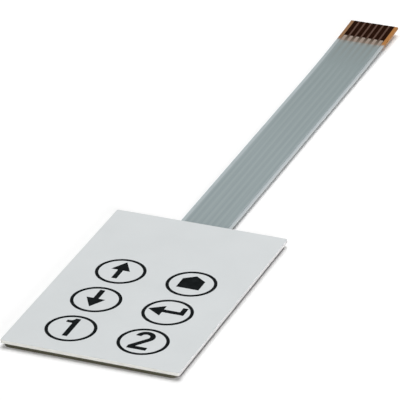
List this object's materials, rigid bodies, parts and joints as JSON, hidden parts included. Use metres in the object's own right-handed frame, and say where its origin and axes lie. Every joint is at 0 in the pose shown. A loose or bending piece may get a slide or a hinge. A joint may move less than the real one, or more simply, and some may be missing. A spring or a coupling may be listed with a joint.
{
  "type": "membrane keypad",
  "caption": "Thin laminated membrane keypad with round printed keys, and a long flat circuit tail ending in carbon contacts over an amber stiffener.",
  "frame": {"origin": "middle of the keypad's rear face, on the release liner, on the plane the part lies on", "axes": "+X across the key columns, +Y from the keypad along the tail, +Z out of the printed face"},
  "size_m": [0.033, 0.1414, 0.0016],
  "materials": {
    "overlay_film": "fine matt textured polyester",
    "black_print": "satin screen print",
    "adhesive": "clear acrylic adhesive, dark at its cut edge",
    "face_adhesive": "pale acrylic adhesive",
    "switch_film": "milky polyester film",
    "silver_print": "matt conductive silver ink",
    "spacer_film": "pale film with adhesive on both sides",
    "tail_film": "clear polyester film",
    "grey_cover": "satin grey insulating cover",
    "carbon_print": "satin carbon ink",
    "amber_film": "amber polyimide film",
    "liner_paper": "smooth coated paper"
  },
  "bodies": {
    "root": {"graphic_overlay": "overlay_film", "legend_up": "black_print", "legend_home": "black_print", "legend_down": "black_print", "legend_enter": "black_print", "legend_one": "black_print", "legend_two": "black_print", "overlay_adhesive": "face_adhesive", "upper_film": "switch_film", "shorting_pads": "silver_print", "spacer": "spacer_film", "common_trace": "silver_print", "trace_one": "silver_print", "trace_down": "silver_print", "trace_up": "silver_print", "trace_two": "silver_print", "trace_enter": "silver_print", "trace_home": "silver_print", "circuit_film": "tail_film", "tail_cover": "grey_cover", "tail_contacts": "carbon_print", "tail_stiffener": "amber_film", "rear_adhesive": "adhesive", "release_liner": "liner_paper"}
  },
  "joints": []
}
